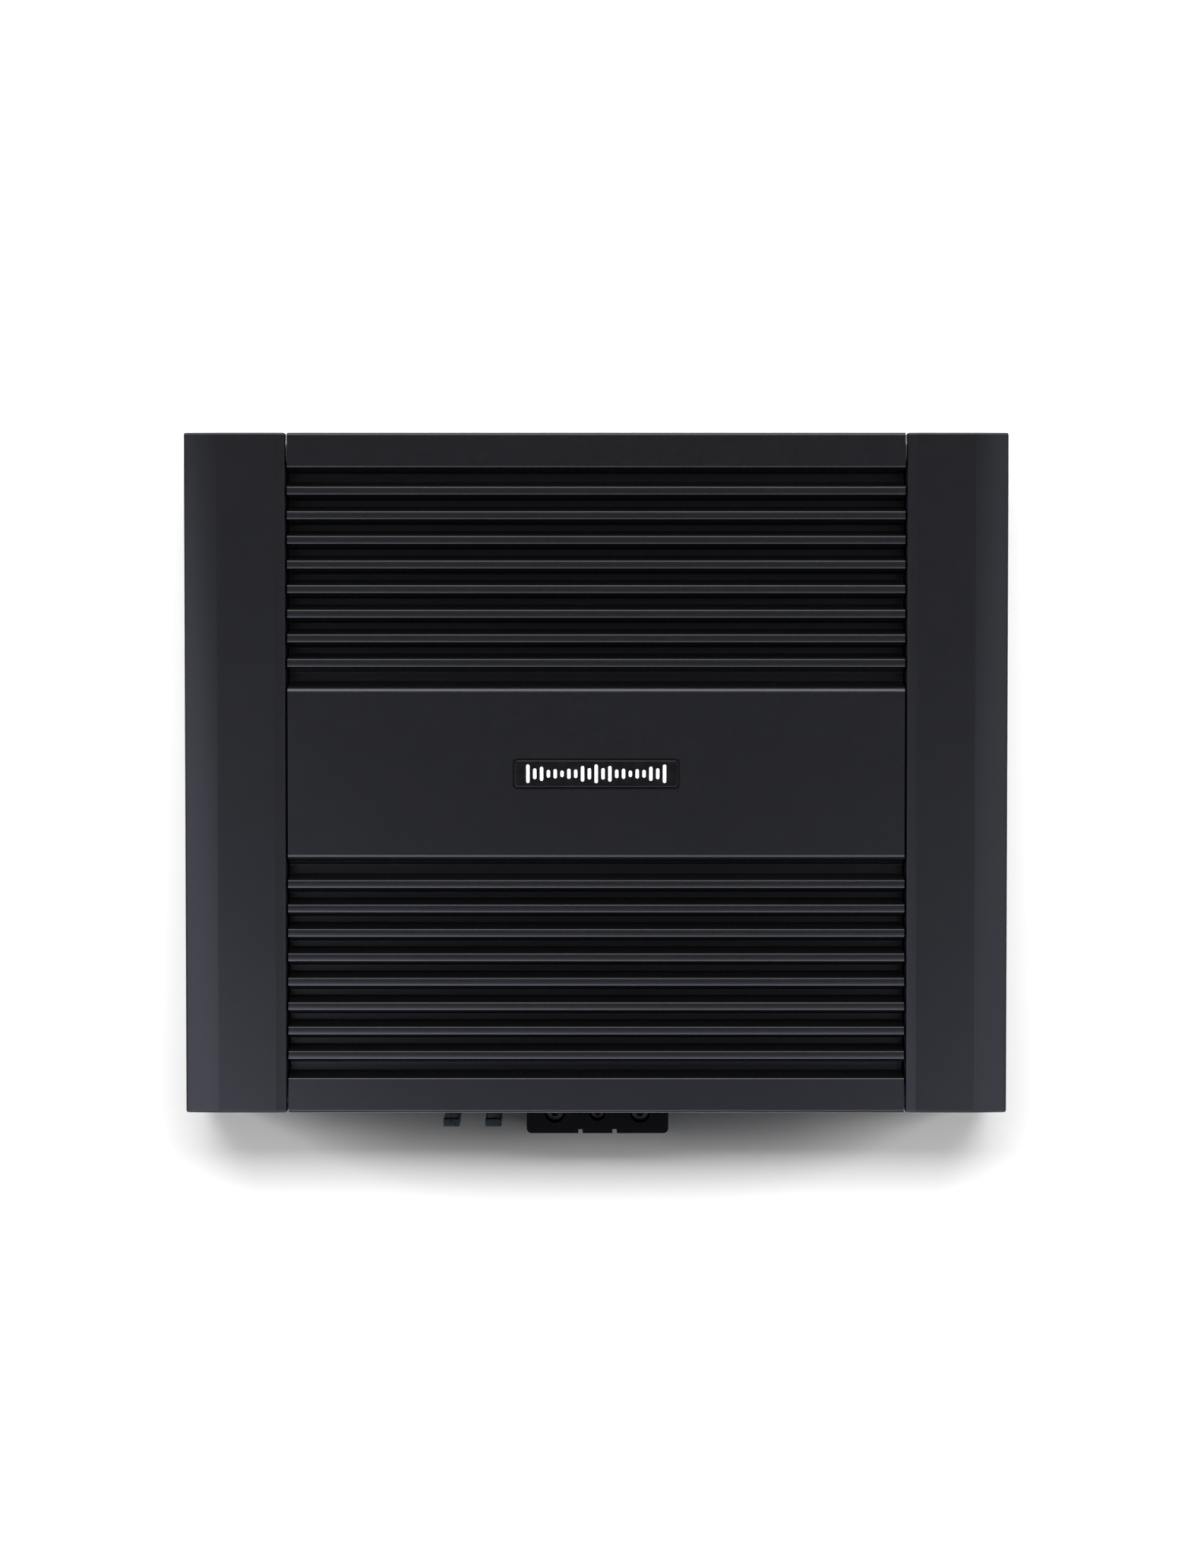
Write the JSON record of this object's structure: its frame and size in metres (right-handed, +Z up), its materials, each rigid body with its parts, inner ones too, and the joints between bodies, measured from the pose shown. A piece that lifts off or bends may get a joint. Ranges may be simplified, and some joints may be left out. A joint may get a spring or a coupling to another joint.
{
  "type": "car amplifier",
  "caption": "Low-profile car audio amplifier: finned heat sink between side covers that hide the mounting flanges, with fuses, power, speaker and input connections.",
  "frame": {"origin": "centre of the mounting-hole pattern, on the mounting face", "axes": "+X along the width to the right-hand side cover, +Y to the input side, -Y to the power side, +Z up through the heat sink"},
  "size_m": [0.26, 0.2243, 0.06],
  "materials": {
    "powder_coat": "satin black fine-textured powder coat on cast and extruded aluminium",
    "painted_steel": "satin black paint on sheet steel",
    "zinc_steel": "zinc-plated sheet steel",
    "black_screws": "black-oxide steel",
    "bright_screws": "zinc-plated steel",
    "badge_black": "gloss black",
    "badge_white": "white printed inlay",
    "black_plastic": "moulded black glass-filled nylon",
    "knob_plastic": "moulded black plastic",
    "brass": "bare stamped brass",
    "nickel": "nickel plate",
    "zinc": "bare zinc alloy",
    "fuse_plastic": "dark green translucent fuse plastic",
    "pot_plastic": "blue moulded potentiometer case",
    "light_lens": "blue diffused lens",
    "board": "green solder mask on glass-epoxy board",
    "capacitor_sleeve": "dark blue shrink sleeve",
    "ferrite": "sintered ferrite",
    "copper_wire": "enamelled copper wire",
    "epoxy_case": "black epoxy case",
    "insulator": "grey silicone pad"
  },
  "bodies": {
    "root": {"heat_sink": "powder_coat", "left_side_cover": "powder_coat", "right_side_cover": "powder_coat", "cover_screws": "black_screws", "base_plate": "painted_steel", "base_screws": "black_screws", "left_mounting_bracket": "painted_steel", "right_mounting_bracket": "painted_steel", "chassis_screws": "black_screws", "front_panel": "painted_steel", "rear_panel": "painted_steel", "badge_plate": "badge_black", "badge_motif": "badge_white", "power_terminal_housing": "black_plastic", "power_bus_bars": "brass", "fuse_holder": "black_plastic", "fuse_contacts": "zinc", "speaker_terminal_strip": "black_plastic", "speaker_contacts": "brass", "input_jack_housing": "black_plastic", "input_jack_shells": "nickel", "input_jack_contacts": "brass", "potentiometers": "pot_plastic", "switch_frames": "nickel", "remote_level_socket": "black_plastic", "status_light": "light_lens", "circuit_board": "board", "board_standoffs": "bright_screws", "board_screws": "bright_screws", "storage_capacitors": "capacitor_sleeve", "transformer_core": "ferrite", "transformer_winding": "copper_wire", "output_inductor": "copper_wire", "power_transistors": "epoxy_case", "insulator_pads": "insulator", "transistor_clamp_bars": "zinc_steel", "clamp_bar_screws": "bright_screws"},
    "left_fuse": {"left_fuse_body": "fuse_plastic", "left_fuse_element": "zinc"},
    "right_fuse": {"right_fuse_body": "fuse_plastic", "right_fuse_element": "zinc"},
    "battery_clamp": {"battery_clamp": "nickel"},
    "battery_screw": {"battery_clamp_screw": "black_screws"},
    "remote_clamp": {"remote_clamp": "nickel"},
    "remote_screw": {"remote_clamp_screw": "black_screws"},
    "ground_clamp": {"ground_clamp": "nickel"},
    "ground_screw": {"ground_clamp_screw": "black_screws"},
    "speaker_clamp_1": {"speaker_clamp_1": "nickel"},
    "speaker_screw_1": {"speaker_screw_1": "bright_screws"},
    "speaker_clamp_2": {"speaker_clamp_2": "nickel"},
    "speaker_screw_2": {"speaker_screw_2": "bright_screws"},
    "speaker_clamp_3": {"speaker_clamp_3": "nickel"},
    "speaker_screw_3": {"speaker_screw_3": "bright_screws"},
    "speaker_clamp_4": {"speaker_clamp_4": "nickel"},
    "speaker_screw_4": {"speaker_screw_4": "bright_screws"},
    "gain_knob": {"gain_knob": "knob_plastic"},
    "crossover_knob": {"crossover_knob": "knob_plastic"},
    "bass_knob": {"bass_knob": "knob_plastic"},
    "filter_slider": {"filter_switch_slider": "knob_plastic"},
    "range_slider": {"range_switch_slider": "knob_plastic"}
  },
  "joints": [
    {"name": "left_fuse_pull", "type": "slide", "parent": "root", "child": "left_fuse", "axis": [0, -1, 0], "range_m": [0, 0.018]},
    {"name": "right_fuse_pull", "type": "slide", "parent": "root", "child": "right_fuse", "axis": [0, -1, 0], "range_m": [0, 0.018]},
    {"name": "battery_clamp_rise", "type": "slide", "parent": "root", "child": "battery_clamp", "axis": [0, 0, 1], "range_m": [0, 0.006]},
    {"name": "battery_screw_turn", "type": "hinge", "parent": "root", "child": "battery_screw", "pos_m": [-0.0133, -0.1102, 0.031], "axis": [0, 0, 1], "range_deg": [-3085.73, 0]},
    {"name": "remote_clamp_rise", "type": "slide", "parent": "root", "child": "remote_clamp", "axis": [0, 0, 1], "range_m": [0, 0.006]},
    {"name": "remote_screw_turn", "type": "hinge", "parent": "root", "child": "remote_screw", "pos_m": [0.0004, -0.1102, 0.031], "axis": [0, 0, 1], "range_deg": [-4320.02, 0]},
    {"name": "ground_clamp_rise", "type": "slide", "parent": "root", "child": "ground_clamp", "axis": [0, 0, 1], "range_m": [0, 0.006]},
    {"name": "ground_screw_turn", "type": "hinge", "parent": "root", "child": "ground_screw", "pos_m": [0.0141, -0.1102, 0.031], "axis": [0, 0, 1], "range_deg": [-3085.73, 0]},
    {"name": "speaker_clamp_1_slide", "type": "slide", "parent": "root", "child": "speaker_clamp_1", "axis": [0, -1, 0], "range_m": [0, 0.0027]},
    {"name": "speaker_screw_1_turn", "type": "hinge", "parent": "speaker_clamp_1", "child": "speaker_screw_1", "pos_m": [0.05275, -0.1035, 0.024], "axis": [0, -1, 0], "range_deg": [0, 1620.02]},
    {"name": "speaker_clamp_2_slide", "type": "slide", "parent": "root", "child": "speaker_clamp_2", "axis": [0, -1, 0], "range_m": [0, 0.0027]},
    {"name": "speaker_screw_2_turn", "type": "hinge", "parent": "speaker_clamp_2", "child": "speaker_screw_2", "pos_m": [0.06225, -0.1035, 0.024], "axis": [0, -1, 0], "range_deg": [0, 1620.02]},
    {"name": "speaker_clamp_3_slide", "type": "slide", "parent": "root", "child": "speaker_clamp_3", "axis": [0, -1, 0], "range_m": [0, 0.0027]},
    {"name": "speaker_screw_3_turn", "type": "hinge", "parent": "speaker_clamp_3", "child": "speaker_screw_3", "pos_m": [0.07175, -0.1035, 0.024], "axis": [0, -1, 0], "range_deg": [0, 1620.02]},
    {"name": "speaker_clamp_4_slide", "type": "slide", "parent": "root", "child": "speaker_clamp_4", "axis": [0, -1, 0], "range_m": [0, 0.0027]},
    {"name": "speaker_screw_4_turn", "type": "hinge", "parent": "speaker_clamp_4", "child": "speaker_screw_4", "pos_m": [0.08125, -0.1035, 0.024], "axis": [0, -1, 0], "range_deg": [0, 1620.02]},
    {"name": "gain_turn", "type": "hinge", "parent": "root", "child": "gain_knob", "pos_m": [-0.034, 0.1, 0.02], "axis": [0, 1, 0], "range_deg": [-140, 140]},
    {"name": "crossover_turn", "type": "hinge", "parent": "root", "child": "crossover_knob", "pos_m": [-0.012, 0.1, 0.02], "axis": [0, 1, 0], "range_deg": [-140, 140]},
    {"name": "bass_turn", "type": "hinge", "parent": "root", "child": "bass_knob", "pos_m": [0.01, 0.1, 0.02], "axis": [0, 1, 0], "range_deg": [-140, 140]},
    {"name": "filter_switch_slide", "type": "slide", "parent": "root", "child": "filter_slider", "axis": [1, 0, 0], "range_m": [-0.0015, 0.0015]},
    {"name": "range_switch_slide", "type": "slide", "parent": "root", "child": "range_slider", "axis": [1, 0, 0], "range_m": [-0.0015, 0.0015]}
  ],
  "couplings": [
    {"joint": "battery_screw_turn", "follows": "battery_clamp_rise", "rad_per_m": -8976},
    {"joint": "remote_screw_turn", "follows": "remote_clamp_rise", "rad_per_m": -12566},
    {"joint": "ground_screw_turn", "follows": "ground_clamp_rise", "rad_per_m": -8976},
    {"joint": "speaker_screw_1_turn", "follows": "speaker_clamp_1_slide", "rad_per_m": 10472},
    {"joint": "speaker_screw_2_turn", "follows": "speaker_clamp_2_slide", "rad_per_m": 10472},
    {"joint": "speaker_screw_3_turn", "follows": "speaker_clamp_3_slide", "rad_per_m": 10472},
    {"joint": "speaker_screw_4_turn", "follows": "speaker_clamp_4_slide", "rad_per_m": 10472}
  ]
}
